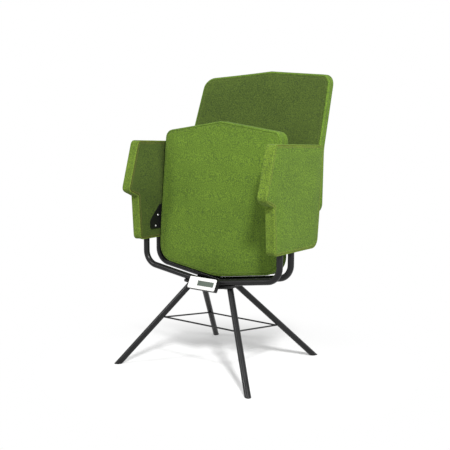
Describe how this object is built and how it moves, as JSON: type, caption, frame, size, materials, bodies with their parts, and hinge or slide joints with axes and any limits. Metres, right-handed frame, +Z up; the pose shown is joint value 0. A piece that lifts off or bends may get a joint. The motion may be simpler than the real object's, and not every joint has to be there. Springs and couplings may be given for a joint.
{
  "type": "tip up auditorium seat",
  "caption": "Upholstered tip up seat between two arm panels, on a bent tube cradle and splayed tube legs.",
  "frame": {"origin": "on the floor under the middle of the chair's bounding box", "axes": "+Z up, -Y to the sitter's front, +X to the sitter's left, symmetric about X = 0 apart from the window of the number plate holder"},
  "size_m": [0.535, 0.5174, 0.9165],
  "materials": {
    "green_fabric": "woven wool, matt",
    "black_steel": "satin black paint",
    "zinc_steel": "zinc plated",
    "board_ply": "raw plywood",
    "black_nylon": "moulded, matt",
    "pale_plastic": "moulded, matt",
    "grey_pane": "smooth, slightly glossy"
  },
  "bodies": {
    "frame": {"leg_front_left": "black_steel", "leg_front_right": "black_steel", "leg_rear_right": "black_steel", "leg_rear_left": "black_steel", "glides": "black_nylon", "ring_rod_front": "black_steel", "ring_rod_right": "black_steel", "ring_rod_rear": "black_steel", "ring_rod_left": "black_steel", "cradle_tube_front": "black_steel", "cradle_tube_rear": "black_steel", "cradle_plate": "black_steel", "base_plate": "black_steel", "base_bolts": "zinc_steel", "base_nuts": "zinc_steel", "holder_body": "black_nylon", "holder_face": "pale_plastic", "holder_pane": "grey_pane", "holder_clip": "black_steel", "back_pad": "green_fabric", "back_board": "board_ply", "pivot_pins": "zinc_steel", "arm_pad_left": "green_fabric", "arm_pad_right": "green_fabric", "arm_board_left": "board_ply", "arm_board_right": "board_ply", "hinge_bracket_left": "black_steel", "hinge_bracket_right": "black_steel", "back_bracket_left": "black_steel", "back_bracket_right": "black_steel"},
    "seat": {"seat_pad": "green_fabric", "seat_board": "board_ply", "side_rails": "black_steel", "pivot_bushes": "black_nylon", "spring_housings": "black_steel"}
  },
  "joints": [
    {"name": "seat_tip", "type": "hinge", "parent": "frame", "child": "seat", "pos_m": [0, -0.04059, 0.444], "axis": [1, 0, 0], "range_deg": [0, 88], "stiffness_Nm_per_rad": 1.8, "springref_deg": -20.05}
  ]
}
